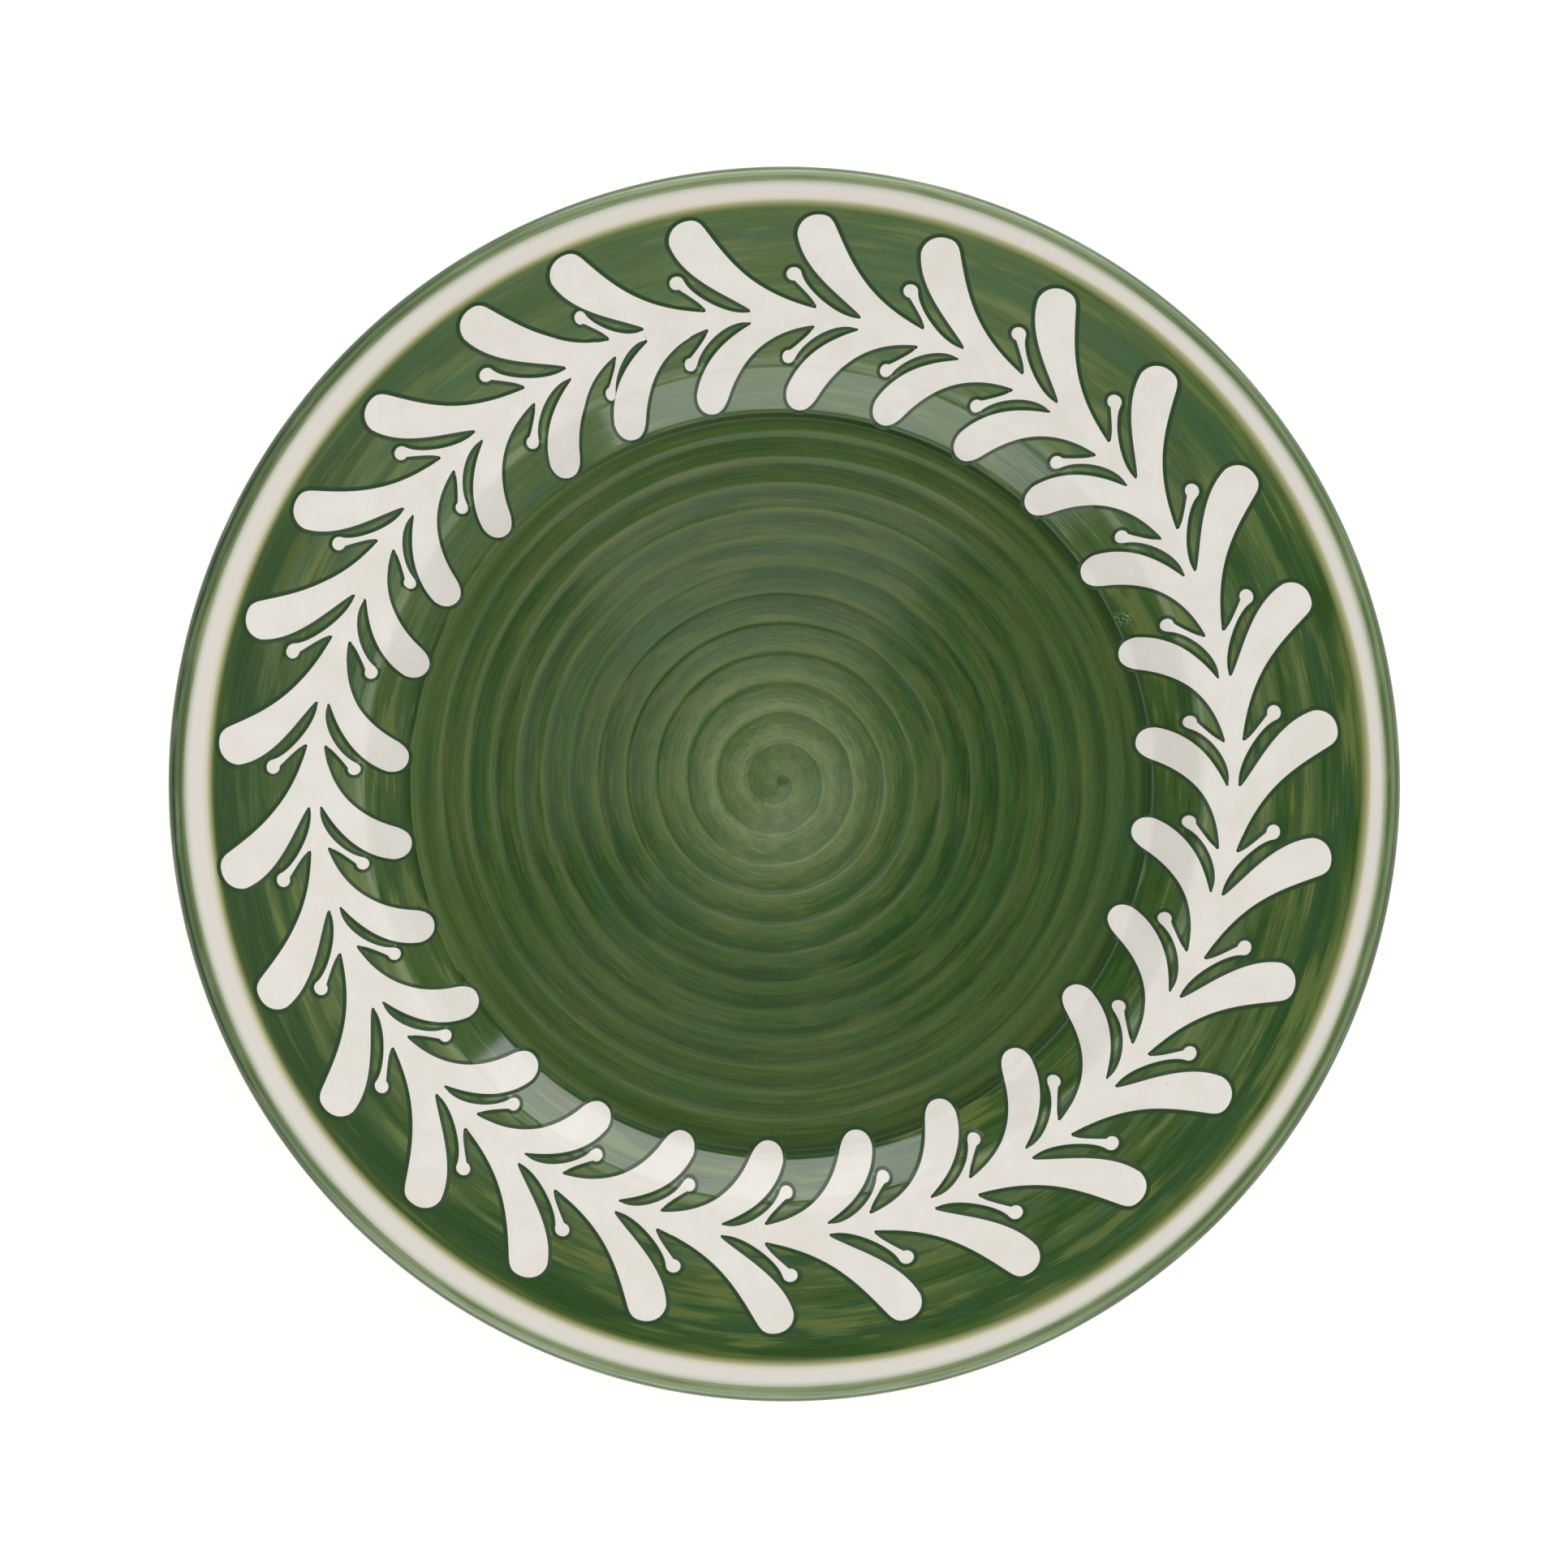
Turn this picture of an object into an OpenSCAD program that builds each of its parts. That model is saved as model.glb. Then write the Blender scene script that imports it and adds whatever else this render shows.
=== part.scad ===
// Hand painted dinner plate: a thrown clay body with a turned foot ring, coloured glaze
// fields laid over it, and a garland of white leaf sprigs that stands proud of the rim.
// The plate lies face up. The origin is on the table, under the centre of the plate.

/* [Plate] */
// Overall diameter
plate_d = 260; // [240:1:280]
// Overall height, from the table to the top of the lip
plate_h = 25; // [23:0.5:28]
// Diameter of the round bead that ends the rim
lip_d = 5; // [4.5:0.1:6]
// Upward slope of the rim, in degrees
rim_slope = 11; // [8:0.5:13]
// Radius at which the rim turns down into the shoulder
shoulder_r = 89; // [86:0.5:92]

/* [Well] */
// Radius of the flat floor of the well
floor_r = 78.7; // [76:0.1:80]
// Height of the floor at its edge
floor_z = 9; // [8.5:0.1:10]
// How far the middle of the floor lies below its edge
floor_dish = 0.6; // [0:0.1:1]
// Rounding where the floor meets the shoulder
floor_fillet = 2; // [1:0.5:3]
// Rounding where the shoulder meets the rim
shoulder_fillet = 5; // [3:0.5:7]

/* [Foot] */
// Outer diameter of the foot ring, where it touches the table
foot_d = 147; // [140:1:150]
// Width of the face that touches the table
foot_w = 5; // [4:0.5:7]
// Height of the recess inside the foot ring
foot_recess = 3.2; // [2.5:0.1:3.6]
// Rounding of the foot ring's edges
foot_edge = 0.8; // [0.5:0.1:1]

/* [Glaze] */
// Thickness of the coloured glaze
glaze_t = 0.3; // [0.2:0.05:0.5]
// Radius at which the green rim ends and the white band begins
band_in_r = 122.5; // [121:0.1:123.5]
// Radius at which the white band ends and the green lip begins
band_out_r = 126.7; // [125.5:0.1:126.9]
// Height of bare clay left above the table on the foot ring
bare_foot_h = 1.6; // [1.2:0.1:2.2]

/* [Garland] */
// Number of leaf sprigs around the rim
sprig_count = 27; // [25:1:29]
// How far a sprig stands proud of the glaze
sprig_t = 0.3; // [0.2:0.05:0.5]
// Radius of the stem that joins the sprigs
stem_r = 97; // [96:0.1:99]
// Reach of the outer leaves from the stem
leaf_out = 21; // [19:0.1:22]
// Reach of the inner leaves from the stem
leaf_in = 19.6; // [18:0.1:21]
// Direction of the first sprig, clockwise from +Y, in degrees
first_sprig = 6.1; // [0:0.1:13]

/* [Hand of the painter] */
// How far the garland lies off the plate's centre, to the left
garland_left = 1.7; // [0:0.1:3]
// How far the garland lies off the plate's centre, away from the front
garland_up = 1.9; // [0:0.1:3]
// Slow drift of the spacing round the garland, in degrees
spacing_drift = 1.8; // [0:0.1:2]
// How much wider the stem's ring is along one diagonal than round
stem_oval = 0.6; // [0:0.1:1]
// How far the outer leaf tips have slid to the right against the stem
tip_slide = 0.2; // [0:0.1:1]

/* [Hidden] */
$fn = 96;

plate_r = plate_d / 2;
lip_r = lip_d / 2;
lip_mid = [plate_r - lip_r, plate_h - lip_r];
wall_t = 5.4;
foot_r = foot_d / 2;
foot_flare = 1.5;
foot_h = 4.4;
// Rounding of the back: under the rim, at the heel, at the root of the foot, in the base
bend_fillet = 14;
heel_fillet = 8;
root_fillet = 1.5;
base_fillet = 1.2;
// The back's bend lies this far outside the shoulder, and its heel this far from the foot
bend_out = 4;
heel_out = 9;
heel_up = 0.9;
// How far the garland's inner leaf tips may reach onto the floor of the well
tip_room = 8;
// A small length by which one cutting shape runs past another
past = 1;
// Direction at which the drift of the spacing is greatest, clockwise from +Y, in degrees
drift_lag = 18;
// Where the painter closed the ring the last sprigs slipped off their even places: the first
// sprig that slipped, then for each the turn in degrees and the way outwards
first_slip = 19;
slip_turn = [0, -0.2, -0.2, 0.9, 0.4, 0.6, 1.5, -0.8, -0.5];
slip_out = [0.5, 0.9, 0.5, -0.6, -0.6, -0.8, -0.7, 0.6, 0.2];

// Corners of the face, from the middle of the well to where the rim runs into the lip
rim_end = lip_mid + lip_r * [-sin(rim_slope), cos(rim_slope)];
rim_start = [shoulder_r, rim_end[1] - (rim_end[0] - shoulder_r) * tan(rim_slope)];
floor_edge = [floor_r, floor_z];
floor_mid = [0, floor_z - floor_dish];

// Corners of the back, from where the lip ends to the root of the foot ring
back_end = lip_mid + lip_r * [sin(rim_slope), -cos(rim_slope)];
back_bend = [shoulder_r + bend_out, rim_start[1] - wall_t];
back_heel = [foot_r + heel_out, foot_h + heel_up];
foot_root = [foot_r + foot_flare, foot_h];
foot_toe = [foot_r, 0];

// Names that sort in order: sprig_01, sprig_02 and so on
function sprig_name(i) = str("sprig_", i < 10 ? "0" : "", i);

// Points of an outline in the opposite order
function backwards(points) = [for (i = [len(points) - 1:-1:0]) points[i]];

// An arc that rounds the corner b between the lines from a and to c
function corner(a, b, c, radius, steps = 4) =
    let (
        to_a = (a - b) / norm(a - b),
        to_c = (c - b) / norm(c - b),
        half = acos(to_a * to_c) / 2,
        middle = b + (to_a + to_c) / norm(to_a + to_c) * radius / sin(half),
        start = b + to_a * radius / tan(half) - middle,
        end = b + to_c * radius / tan(half) - middle
    )
    [for (i = [0:steps])
        let (mix = start * (1 - i / steps) + end * i / steps)
        middle + mix / norm(mix) * radius];

// Normal of the line from a to b, on its left
function left_of(a, b) = [a[1] - b[1], b[0] - a[0]] / norm(b - a);

// One surface line moved sideways by a distance, with its first point kept on the axis
function raised(line, distance) =
    [for (i = [0:len(line) - 1])
        let (
            before = left_of(line[max(i - 1, 0)], line[max(i, 1)]),
            after = left_of(line[min(i, len(line) - 2)], line[min(i + 1, len(line) - 1)]),
            both = (before + after) / norm(before + after),
            moved = line[i] + both * distance / (both * before)
        )
        [i == 0 ? line[i][0] : moved[0], moved[1]]];

// The face as a line of points, from the middle of the well to the lip
face = concat(
    [floor_mid],
    corner(floor_mid, floor_edge, rim_start, floor_fillet),
    corner(floor_edge, rim_start, rim_end, shoulder_fillet),
    [rim_end]
);
clay_face = raised(face, -glaze_t);

// An arc of the lip's section between two directions, in degrees
function lip_arc(radius, from, to, steps = 10) =
    [for (i = [0:steps])
        let (a = from + (to - from) * i / steps)
        lip_mid + radius * [cos(a), sin(a)]];

// The point of the straight rim at one radius, a depth below its surface
function on_rim(radius, depth) =
    [radius, rim_end[1] - (rim_end[0] - radius) * tan(rim_slope) - depth / cos(rim_slope)];

// The back as a line of points, from the lip to just above the bare foot
bare_point = foot_toe + (foot_root - foot_toe) * bare_foot_h / foot_h;
back = concat(
    [back_end],
    corner(back_end, back_bend, back_heel, bend_fillet),
    corner(back_bend, back_heel, foot_root, heel_fillet),
    corner(back_heel, foot_root, foot_toe, root_fillet, 3),
    [bare_point]
);
clay_back = raised(back, -glaze_t);

// Inside of the foot ring, from its face to the middle of the base
base_wall_r = foot_r - foot_w - foot_flare;
base_corner = [base_wall_r, foot_recess];
base_mid = [0, foot_recess];
base_toe = [foot_r - foot_w, 0];
base_bare = base_toe + (base_corner - base_toe) * bare_foot_h / foot_recess;
base = concat([base_mid], corner(base_mid, base_corner, base_toe, base_fillet, 3), [base_bare]);
clay_base = raised(base, glaze_t);

// A ring with the section between two surface lines, kept between two radii
module skin(under, over, from_r, to_r) {
    rotate_extrude()
        intersection() {
            polygon(concat(under, backwards(over)));
            translate([from_r, -past])
                square([to_r - from_r, plate_h + 2 * past]);
        }
}

// Clay: thrown wall, rounded lip and turned foot ring
module clay_body() {
    foot_face = concat(
        corner(bare_point, foot_toe, base_toe, foot_edge, 4),
        corner(foot_toe, base_toe, base_bare, foot_edge, 4)
    );
    color("#C9A98A")
        rotate_extrude()
            polygon(concat(
                clay_face,
                lip_arc(lip_r - glaze_t, 90 + rim_slope, rim_slope - 90),
                clay_back,
                [bare_point],
                foot_face,
                [base_bare],
                backwards(clay_base)
            ));
}

// Pale glaze on the outside of the back
module back_glaze() {
    color("#D9D6C4")
        rotate_extrude()
            polygon(concat(clay_back, backwards(back)));
}

// Pale glaze on the base, inside the foot ring
module base_glaze() {
    color("#D9D6C4")
        rotate_extrude()
            polygon(concat(base, backwards(clay_base)));
}

// Brushed green glaze on the floor of the well
module well_glaze() {
    color("#3F6B38")
        skin(clay_face, face, 0, floor_r);
}

// Brushed green glaze on the shoulder and the rim
module rim_glaze() {
    color("#35602E")
        skin(clay_face, face, floor_r, band_in_r);
}

// White band that frames the rim
module rim_band() {
    color("#E9E5D6")
        skin(clay_face, face, band_in_r, band_out_r);
}

// Green glaze that rounds the lip
module lip_glaze() {
    color("#5C8158")
        rotate_extrude()
            polygon(concat(
                [on_rim(band_out_r, 0)],
                lip_arc(lip_r, 90 + rim_slope, rim_slope - 90),
                lip_arc(lip_r - glaze_t, rim_slope - 90, 90 + rim_slope),
                [on_rim(band_out_r, glaze_t)]
            ));
}

// Points of a smooth curve from p[0] to p[3], pulled towards p[1] and p[2], without its end
function curve(p, steps) =
    [for (i = [0:steps - 1])
        let (u = i / steps, v = 1 - u)
        v * v * v * p[0] + 3 * v * v * u * p[1] + 3 * v * u * u * p[2] + u * u * u * p[3]];

// A round bud head, drawn from one direction to another about its middle
function bud_head(middle, radius, from, to) =
    [for (i = [0:6])
        let (a = from + (to - from) * i / 6)
        middle + radius * [cos(a), sin(a)]];

// One sprig is drawn as along-the-stem and away-from-the-stem distances. Its leaves point
// backwards. The stem runs from its neck to the neck of the next sprig, with two buds.
pitch = 360 * stem_r * PI / 180 / sprig_count;
neck = 10;
next = [pitch, 0];
outer_side = concat(
    curve([[neck, 0.6], [10.2, 0.8], [10.2, 1.3], [9.6, 1.6]], 2),
    curve([[9.6, 1.6], [6, 4.3], [-2.6, 8.6], [-4.2, 16.9]], 8),
    curve([[-4.2, 16.9], [-4.3, 19.6], [-2.5, 21.4], [-0.3, 21.3]], 4),
    curve([[-0.3, 21.3], [0.9, 21.3], [1.5, 20.6], [2.1, 19.5]], 3),
    curve([[2.1, 19.5], [5.5, 12.7], [9.8, 4.2], [22.9, 1.6]], 9),
    curve([[22.9, 1.6], [23.6, 1.5], [23.7, 2.3], next + [0.5, 2.8]], 2),
    curve([next + [0.5, 2.8], next + [0.1, 3.6], next + [-1.2, 4.8], next + [-3.7, 7.3]], 4),
    bud_head(next + [-4, 8.7], 1.35, 280, 20),
    curve([next + [-2.7, 9], next + [-1.9, 5.4], next + [4.8, 0.2], next + [9.4, 0.6]], 7)
);
inner_side = concat(
    curve([[neck, -1.4], [10.2, -1.5], [10.2, -2], [9.6, -2.2]], 2),
    curve([[9.6, -2.2], [6.4, -4], [-1.5, -8], [-4.2, -15.7]], 8),
    curve([[-4.2, -15.7], [-4.7, -18.5], [-2.9, -20.2], [-0.4, -20.2]], 4),
    curve([[-0.4, -20.2], [1.4, -20.2], [2.7, -18.8], [3.5, -17.3]], 3),
    curve([[3.5, -17.3], [6.8, -10.6], [12.1, -4.2], [22.9, -2]], 9),
    curve([[22.9, -2], [23.6, -1.9], [23.7, -2.6], next + [0.5, -3.1]], 2),
    curve([next + [0.5, -3.1], next + [0.2, -3.9], next + [-1.3, -5.5], next + [-3.9, -7.7]], 4),
    bud_head(next + [-4.2, -9], 1.35, 80, 340),
    curve([next + [-2.9, -9.5], next + [-1.6, -5.8], next + [5, -0.6], next + [9.4, -1.4]], 7)
);
drawn_out = 21.3;
drawn_in = 20.2;
sprig_line = concat(
    [for (p = outer_side) [p[0], p[1] * leaf_out / drawn_out]],
    [next + [neck, 0.6], next + [neck, -1.4]],
    backwards([for (p = inner_side) [p[0], p[1] * leaf_in / drawn_in]])
);

// A sprig's entry in a list of slips, or none if the sprig lies at its even place
function slip(list, i) =
    i < first_slip || i - first_slip >= len(list) ? 0 : list[i - first_slip];

// Direction of a sprig, with the drift of a hand spaced ring and its slips
function sprig_angle(i) =
    let (even = first_sprig + 360 * (i - 1) / sprig_count)
    even - spacing_drift * cos(even - drift_lag) + slip(slip_turn, i);

// Radius of the stem at a sprig
function sprig_radius(i) =
    stem_r + stem_oval * sin(2 * sprig_angle(i)) + slip(slip_out, i);

// Where a point of the sprig's drawing lies on the plate
function placed(i, p) =
    let (
        share = max(0, (p[0] - neck) / pitch),
        before_neck = min(p[0], neck) / stem_r * 180 / PI,
        to_next = i == sprig_count ? sprig_angle(1) + 360 : sprig_angle(i + 1),
        turn = sprig_angle(i) * (1 - share) + to_next * share + before_neck,
        radius = sprig_radius(i) * (1 - share) + sprig_radius(i % sprig_count + 1) * share + p[1],
        slide = tip_slide * (radius - stem_r) / leaf_in
    )
    [radius * sin(turn) - garland_left + slide, radius * cos(turn) + garland_up];

// One sprig of the garland: a pair of leaves and a pair of buds on the stem
module sprig(i) {
    color("#EDE9DF")
        intersection() {
            linear_extrude(plate_h)
                polygon([for (p = sprig_line) placed(i, p)]);
            skin(face, raised(face, sprig_t), floor_r - tip_room, band_in_r);
        }
}

clay_body();
back_glaze();
base_glaze();
well_glaze();
rim_glaze();
rim_band();
lip_glaze();
for (i = [1:sprig_count])
    sprig(i);
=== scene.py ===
# %% [markdown]
# # A hand painted ceramic plate
# A plate like this is thrown on a wheel, turned on its foot, and then painted on the wheel.
# The painter holds a brush of green colour against the turning plate, so every stroke runs
# in rings. The leaf garland is white, and dark colour pools in a line round every leaf.
# We build it the same way: turned coats of glaze first, the garland on top, paint last.

# %% Load the fixed frame
import math

import bpy
import numpy as np
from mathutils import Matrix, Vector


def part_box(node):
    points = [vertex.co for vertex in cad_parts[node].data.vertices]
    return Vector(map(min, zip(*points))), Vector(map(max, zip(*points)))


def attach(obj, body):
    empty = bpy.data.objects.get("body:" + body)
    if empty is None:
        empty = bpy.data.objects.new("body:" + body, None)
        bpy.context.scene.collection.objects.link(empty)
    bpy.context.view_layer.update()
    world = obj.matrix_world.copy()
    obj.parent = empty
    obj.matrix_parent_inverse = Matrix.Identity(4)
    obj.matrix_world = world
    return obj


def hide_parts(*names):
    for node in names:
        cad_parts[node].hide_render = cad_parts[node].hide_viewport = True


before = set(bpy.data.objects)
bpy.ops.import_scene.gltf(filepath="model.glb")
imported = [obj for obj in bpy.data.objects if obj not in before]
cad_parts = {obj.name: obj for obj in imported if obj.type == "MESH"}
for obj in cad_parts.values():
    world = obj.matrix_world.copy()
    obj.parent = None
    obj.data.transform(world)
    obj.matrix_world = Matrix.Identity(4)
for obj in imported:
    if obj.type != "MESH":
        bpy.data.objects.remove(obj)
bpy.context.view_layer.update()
MM = 0.001

# %% [markdown]
# The camera comes first, because everything else is judged through it. The plate lies on a
# table and is seen from above, leaning a few degrees to the left of straight down. A very
# long lens keeps the round rim round, with its middle in the middle.

# %% Put the camera above the plate
EDGE_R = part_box("lip_glaze")[1][0] / MM
TOP_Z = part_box("lip_glaze")[1][2] / MM
LEAN = math.radians(4.3)
LENS_MM = 250
SENSOR_MM = 36
VIEW_WIDTH = 2.5395 * EDGE_R
AIM_LEFT = 0.6
AIM_DROP = 2.5
rim_plane = TOP_Z - AIM_DROP
distance = VIEW_WIDTH * LENS_MM / SENSOR_MM
camera_side = -AIM_LEFT - distance * math.sin(LEAN)
camera_height = rim_plane + distance * math.cos(LEAN)
bpy.ops.object.camera_add(
    location=(camera_side * MM, 0, camera_height * MM), rotation=(0, -LEAN, 0)
)
camera = bpy.context.object
camera.data.lens = LENS_MM
camera.data.sensor_width = SENSOR_MM
bpy.context.scene.camera = camera
print("camera stands", round(distance), "mm from the rim")

# %% [markdown]
# A glossy plate is mostly a picture of the room. The light comes from a wide pale belt of
# sky at middle height, which lights the paint evenly and is mirrored by nothing that faces
# the camera, so the greens stay deep. Two low soft boxes, one in front and one behind, show
# as pale veils on the sloping shoulder.

# %% Light the studio
CENTRE_Z = 0.02
BOX_LIFT = 11
BOX_REACH = 1.3
BELT_LIGHT = 1.36
LOW_LIGHT = 0.14
HORIZON_LIGHT = 0.9


def soft_box(name, azimuth, elevation, reach, size, power):
    """An area lamp that looks at the plate, its azimuth clockwise from +Y in degrees."""
    turn = math.radians(azimuth)
    lift = math.radians(elevation)
    place = (
        reach * math.sin(turn) * math.cos(lift),
        reach * math.cos(turn) * math.cos(lift),
        CENTRE_Z + reach * math.sin(lift),
    )
    bpy.ops.object.light_add(type="AREA", location=place)
    lamp = bpy.context.object
    lamp.name = name
    lamp.rotation_euler = (math.pi / 2 - lift, 0, math.pi - turn)
    lamp.data.shape = "RECTANGLE"
    lamp.data.size, lamp.data.size_y = size
    lamp.data.energy = power
    return lamp


soft_box("front_box", 188, BOX_LIFT, BOX_REACH, (2.0, 0.36), 6.3)
soft_box("back_box", 15, BOX_LIFT, BOX_REACH, (1.85, 0.36), 9.1)

world = bpy.data.worlds.new("studio")
world.use_nodes = True
sky = world.node_tree
direction = sky.nodes.new("ShaderNodeTexCoord").outputs["Generated"]
parts = sky.nodes.new("ShaderNodeSeparateXYZ")
sky.links.new(direction, parts.inputs[0])
belt = sky.nodes.new("ShaderNodeValToRGB")
sky.links.new(parts.outputs["Z"], belt.inputs[0])
# Brightness of the sky by height, from 0 at the horizon to 1 overhead.
levels = (
    (0.1, HORIZON_LIGHT), (0.16, LOW_LIGHT), (0.42, LOW_LIGHT), (0.52, BELT_LIGHT),
    (0.88, BELT_LIGHT), (0.93, LOW_LIGHT),
)
while len(belt.color_ramp.elements) < len(levels):
    belt.color_ramp.elements.new(1)
for stop, (height, level) in zip(belt.color_ramp.elements, levels):
    stop.position = height
    stop.color = (level, level, level, 1)
sky.links.new(belt.outputs[0], sky.nodes["Background"].inputs["Color"])
bpy.context.scene.world = world
bpy.context.scene.view_settings.view_transform = "Standard"
print("the sky has", len(levels), "levels, and two soft boxes stand", BOX_REACH, "m away")

# %% [markdown]
# The floor of the well is almost flat, so its clear glaze mirrors what hangs straight above.
# There, real ceilings and lamps leave faint pale wedges in the green. Cards in the shape of
# a slice, hung high where the mirror looks, give the same wedges with clean edges.

# %% Hang the wedge cards
CARD_Z = 2.6
CARD_X = CARD_Z * math.tan(LEAN)


def wedge_card(name, first, last, size, light):
    """A glowing sector seen in the floor of the well, between two turns in degrees."""
    bpy.ops.object.select_all(action="DESELECT")
    bpy.ops.mesh.primitive_circle_add(
        vertices=72, radius=size, fill_type="TRIFAN", location=(CARD_X, 0, CARD_Z)
    )
    card = bpy.context.object
    card.name = name
    middle = (first + last) / 2
    bpy.context.tool_settings.mesh_select_mode = (False, False, True)
    bpy.ops.object.mode_set(mode="EDIT")
    bpy.ops.mesh.select_all(action="DESELECT")
    bpy.ops.object.mode_set(mode="OBJECT")
    for face in card.data.polygons:
        turn = math.degrees(math.atan2(face.center.x, face.center.y))
        away = abs((turn - middle + 180) % 360 - 180)
        face.select = away > (last - first) / 2
    bpy.ops.object.mode_set(mode="EDIT")
    bpy.ops.mesh.delete(type="FACE")
    bpy.ops.object.mode_set(mode="OBJECT")
    bpy.context.tool_settings.mesh_select_mode = (True, False, False)
    glow = bpy.data.materials.new(name)
    glow.use_nodes = True
    shader = glow.node_tree.nodes["Principled BSDF"]
    shader.inputs["Base Color"].default_value = (0, 0, 0, 1)
    shader.inputs["Emission Color"].default_value = (0.97, 1, 0.82, 1)
    shader.inputs["Emission Strength"].default_value = light
    card.data.materials.append(glow)
    print(name, "keeps", len(card.data.polygons), "faces")


wedge_card("card_behind", -45, 36, 0.107, 1.35)
wedge_card("card_left", -103, -45, 0.085, 0.85)
wedge_card("card_front", 155, 235, 0.113, 0.5)
print("three cards hang", CARD_Z, "m up")

# %% [markdown]
# The floor is plain and matt. A little light of its own keeps it even to its edges, so that
# only the soft shadow of the rim tells where the plate stands.

# %% Lay the floor
FLOOR_SIZE = 8
FLOOR_GLOW = 0.3
bpy.ops.mesh.primitive_plane_add(size=FLOOR_SIZE, location=(0, 0, 0))
floor = bpy.context.object
floor.name = "floor"
floor_paint = bpy.data.materials.new("pale floor")
floor_paint.use_nodes = True
floor_shader = floor_paint.node_tree.nodes["Principled BSDF"]
floor_shader.inputs["Base Color"].default_value = (0.93, 0.93, 0.93, 1)
floor_shader.inputs["Roughness"].default_value = 0.9
floor_shader.inputs["Specular IOR Level"].default_value = 0
floor_shader.inputs["Emission Color"].default_value = (1, 1, 1, 1)
floor_shader.inputs["Emission Strength"].default_value = FLOOR_GLOW
floor.data.materials.append(floor_paint)
print("the floor is", FLOOR_SIZE, "m wide")

# %% [markdown]
# Paint is worked out as arithmetic on sockets. This class lets us write `1 - mask` and get a
# Math node, so the recipes further down read like recipes and not like wiring.

# %% A small language for paint
GLOSS_VEIL = 0.006


def tone(code):
    """The paint's own colour, from the hex code of how it looks under the studio light."""
    shares = [int(code[i:i + 2], 16) / 255 for i in (0, 2, 4)]
    linear = [s / 12.92 if s <= 0.04045 else ((s + 0.055) / 1.055) ** 2.4 for s in shares]
    return (*[max(light - GLOSS_VEIL, 0.003) for light in linear], 1)


class Value:
    """A number that changes over a surface: a socket that can be used in arithmetic."""

    def __init__(self, paint, socket):
        self.paint = paint
        self.socket = socket

    def math(self, operation, *others):
        return self.paint.node("Math", {"operation": operation}, dict(enumerate((self, *others))))

    def __add__(self, other):
        return self.math("ADD", other)

    __radd__ = __add__

    def __mul__(self, other):
        return self.math("MULTIPLY", other)

    __rmul__ = __mul__

    def __sub__(self, other):
        return self.math("SUBTRACT", other)

    def __rsub__(self, other):
        return (self * -1) + other

    def __truediv__(self, other):
        return self.math("DIVIDE", other)

    def __pow__(self, other):
        return self.math("POWER", other)

    def step(self, low, high):
        """Rises smoothly from 0 at low to 1 at high."""
        settings = {"interpolation_type": "SMOOTHSTEP"}
        sockets = {"Value": self, "From Min": low, "From Max": high}
        return self.paint.node("MapRange", settings, sockets)

    def hump(self, middle, width):
        """1 at the middle, falling smoothly to 0 at one width to each side."""
        return 1 - (self - middle).math("ABSOLUTE").step(0, width)


class Paint:
    """One material's node tree, with one method that adds any node."""

    def __init__(self, name):
        self.material = bpy.data.materials.new(name)
        self.material.use_nodes = True
        self.tree = self.material.node_tree
        self.shader = self.tree.nodes["Principled BSDF"]
        place = self.node("TexCoord", {}, {}, "Object")
        self.place = self.node("VectorMath", {"operation": "SCALE"}, {0: place, "Scale": 1 / MM})
        split = self.place.socket.node
        parts = self.tree.nodes.new("ShaderNodeSeparateXYZ")
        self.tree.links.new(split.outputs[0], parts.inputs[0])
        self.x, self.y, self.z = (Value(self, parts.outputs[i]) for i in range(3))

    def node(self, kind, settings, sockets, output=0):
        node = self.tree.nodes.new("ShaderNode" + kind)
        for name, setting in settings.items():
            setattr(node, name, setting)
        for name, value in sockets.items():
            if isinstance(value, Value):
                self.tree.links.new(value.socket, node.inputs[name])
            else:
                node.inputs[name].default_value = value
        return Value(self, node.outputs[output])

    def vector(self, x, y, z):
        return self.node("CombineXYZ", {}, {0: x, 1: y, 2: z})

    def noise(self, vector, scale=1, detail=2, roughness=0.5):
        sockets = {"Vector": vector, "Scale": scale, "Detail": detail, "Roughness": roughness}
        return self.node("TexNoise", {}, sockets, "Fac")

    def mix(self, share, first, second):
        """Blends two colours. Each is a colour or the result of another mix."""
        settings = {"data_type": "RGBA"}
        return self.node("Mix", settings, {0: share, 6: first, 7: second}, 2)

    def ramp(self, value, stops):
        """A colour that changes with a value. Stops are (value, hex code), low to high."""
        low, high = stops[0][0], stops[-1][0]
        span = (value - low) / (high - low)
        result = self.node("ValToRGB", {}, {"Fac": span})
        band = result.socket.node.color_ramp
        while len(band.elements) < len(stops):
            band.elements.new(1)
        for element, (at, code) in zip(band.elements, stops):
            element.position = (at - low) / (high - low)
            element.color = tone(code)
        return result

    def attribute(self, name):
        return self.node("Attribute", {"attribute_name": name}, {}, "Fac")

    def finish(self, colour, roughness, relief=None, depth=0.0, coat=0.0):
        """Connects colour and gloss, and a relief as bump of a depth in millimetres."""
        self.tree.links.new(colour.socket, self.shader.inputs["Base Color"])
        if isinstance(roughness, Value):
            self.tree.links.new(roughness.socket, self.shader.inputs["Roughness"])
        else:
            self.shader.inputs["Roughness"].default_value = roughness
        self.shader.inputs["Coat Weight"].default_value = coat
        self.shader.inputs["Coat Roughness"].default_value = 0.04
        if relief is not None:
            bump = self.node("Bump", {}, {"Height": relief, "Distance": depth * MM})
            self.tree.links.new(bump.socket, self.shader.inputs["Normal"])
        return self.material


# %% [markdown]
# The plate's section is one line: from the middle of the well, up the shoulder, along the
# rim and round the lip, then back underneath to the foot. Only its corners are named. Each
# corner is rounded by an arc, as a potter's rib rounds it.

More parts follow.
